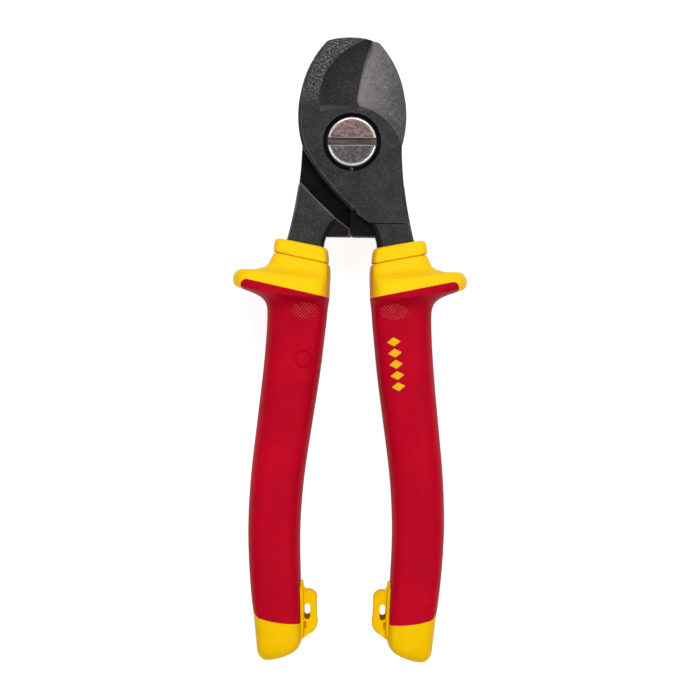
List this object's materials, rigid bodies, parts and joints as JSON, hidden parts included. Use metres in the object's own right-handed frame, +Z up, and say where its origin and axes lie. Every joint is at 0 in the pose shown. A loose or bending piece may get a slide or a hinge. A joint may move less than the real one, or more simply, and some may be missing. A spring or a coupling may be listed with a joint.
{
  "type": "cable cutter",
  "caption": "Hand cable cutter with lapped steel levers on a bolt, curved shearing jaws, and insulated layered handles with guards and tether eyes.",
  "frame": {"origin": "under the middle of the tool, on the surface it lies on", "axes": "+Z up, along the pivot bolt towards its slotted head; +Y along the tool towards the jaw tips; +X towards the right handle"},
  "size_m": [0.062, 0.165, 0.0236],
  "materials": {
    "lever_steel": "black phosphated drop forging, satin, with ground blade faces",
    "plated_steel": "nickel plated, fine turned face",
    "nut_steel": "zinc plated",
    "spring_steel": "plain spring steel",
    "yellow_insulation": "smooth hard yellow insulation, semi-matte",
    "red_cover": "soft-touch red elastomer, semi-matte",
    "mark_yellow": "raised yellow marks, matte"
  },
  "bodies": {
    "left_handle_half": {"rear_lever": "lever_steel", "left_inner_sleeve": "yellow_insulation", "left_hand_guard": "yellow_insulation", "left_grip_cover": "red_cover", "left_end_cap": "yellow_insulation", "left_tether_eye": "yellow_insulation"},
    "right_handle_half": {"front_lever": "lever_steel", "right_inner_sleeve": "yellow_insulation", "right_hand_guard": "yellow_insulation", "right_grip_cover": "red_cover", "right_end_cap": "yellow_insulation", "right_tether_eye": "yellow_insulation", "right_grip_marks": "mark_yellow", "pivot_bolt": "plated_steel", "lock_pin": "plated_steel", "pivot_nut": "nut_steel", "spring_washer": "spring_steel"}
  },
  "joints": [
    {"name": "pivot", "type": "hinge", "parent": "left_handle_half", "child": "right_handle_half", "pos_m": [0, 0.0549, 0.0118], "axis": [0, 0, 1], "range_deg": [0, 48]}
  ]
}
